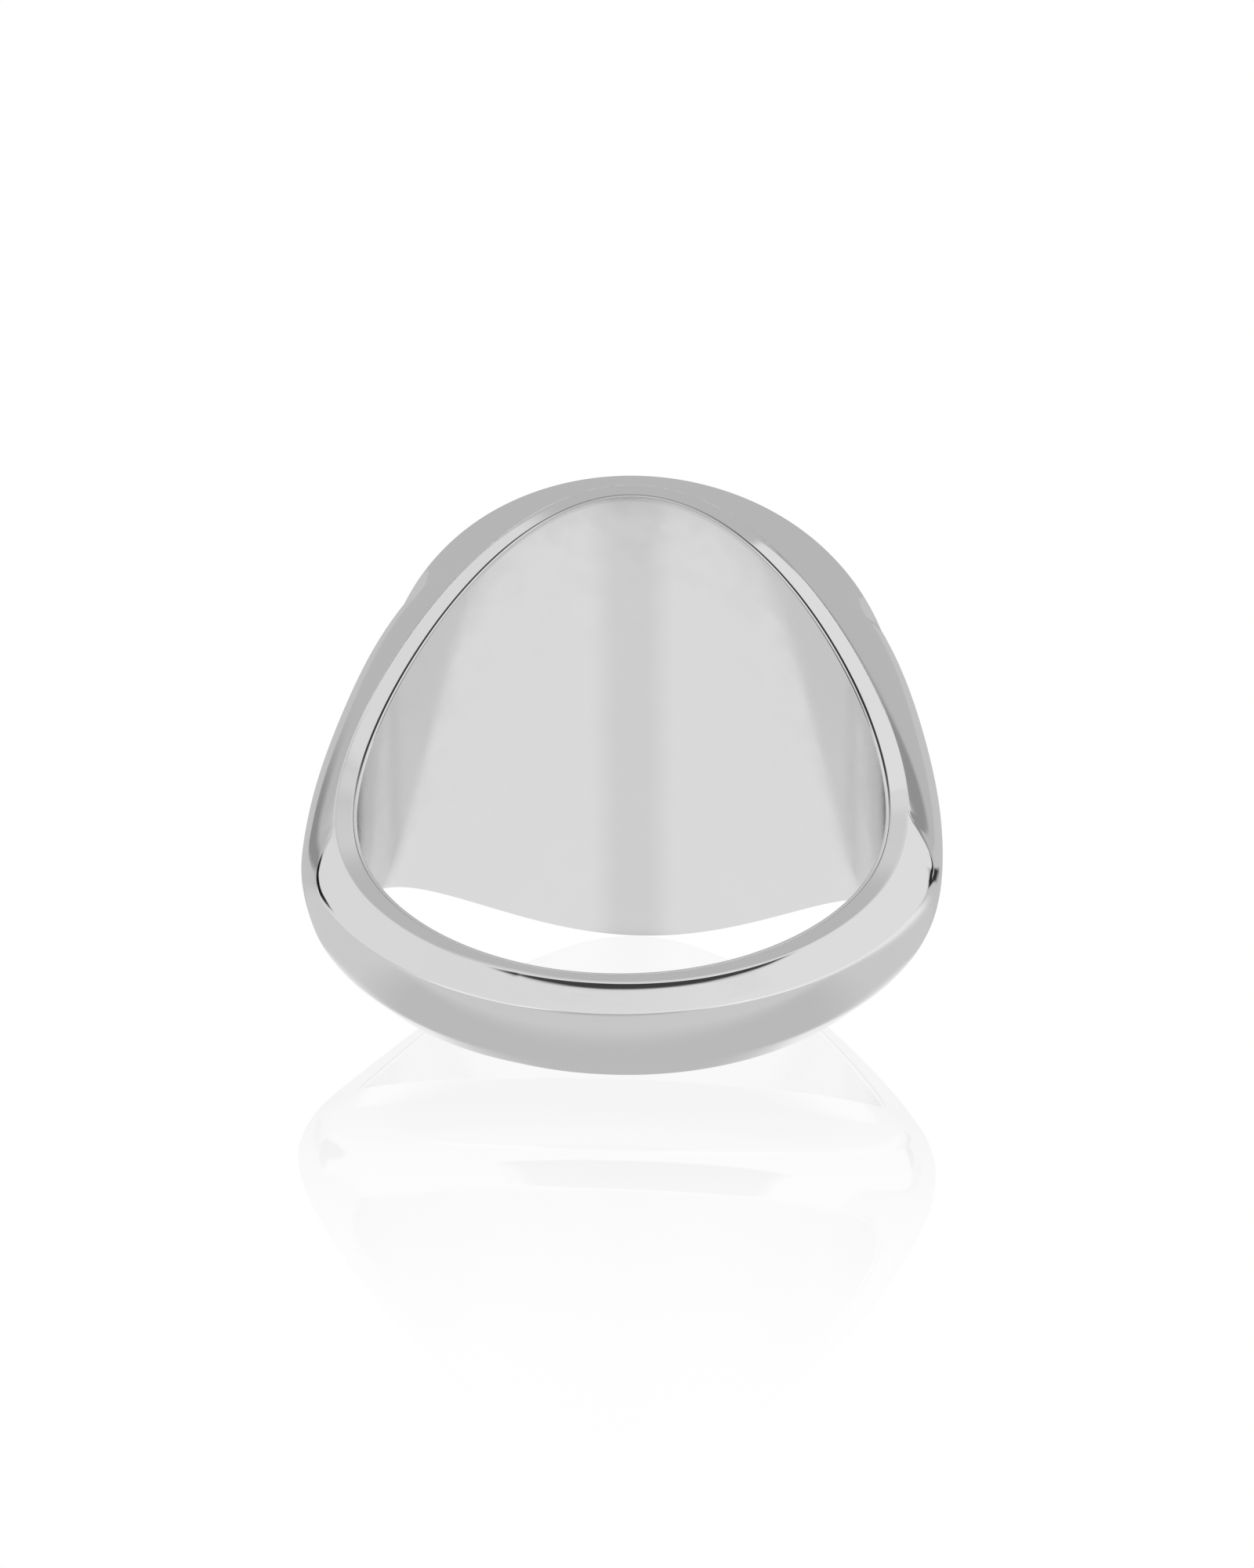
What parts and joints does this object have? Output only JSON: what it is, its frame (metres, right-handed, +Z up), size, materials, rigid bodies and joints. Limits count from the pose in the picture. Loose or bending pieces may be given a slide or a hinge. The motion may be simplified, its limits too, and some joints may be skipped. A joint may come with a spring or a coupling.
{
  "type": "signet ring",
  "caption": "Polished silver signet ring with a flat round table, a closed back to the head, flared shoulders and a slim shank with faceted edges.",
  "frame": {"origin": "centre of the bounding box on the surface the ring lies on", "axes": "the ring lies on its side as it would on a table: +Z up, +Y from the shank to the head, +X across the ring; the finger hole's axis leans 21.3 degrees from +Z towards -Y"},
  "size_m": [0.023, 0.025, 0.0184],
  "materials": {
    "polished_silver": "mirror polished silver",
    "lining_silver": "polished silver, softened by wear",
    "table_silver": "mirror polished silver, plain"
  },
  "bodies": {
    "root": {"finger_sleeve": "lining_silver", "shank": "polished_silver", "left_shoulder": "polished_silver", "right_shoulder": "polished_silver", "head_wall": "polished_silver", "table_plate": "table_silver"}
  },
  "joints": []
}
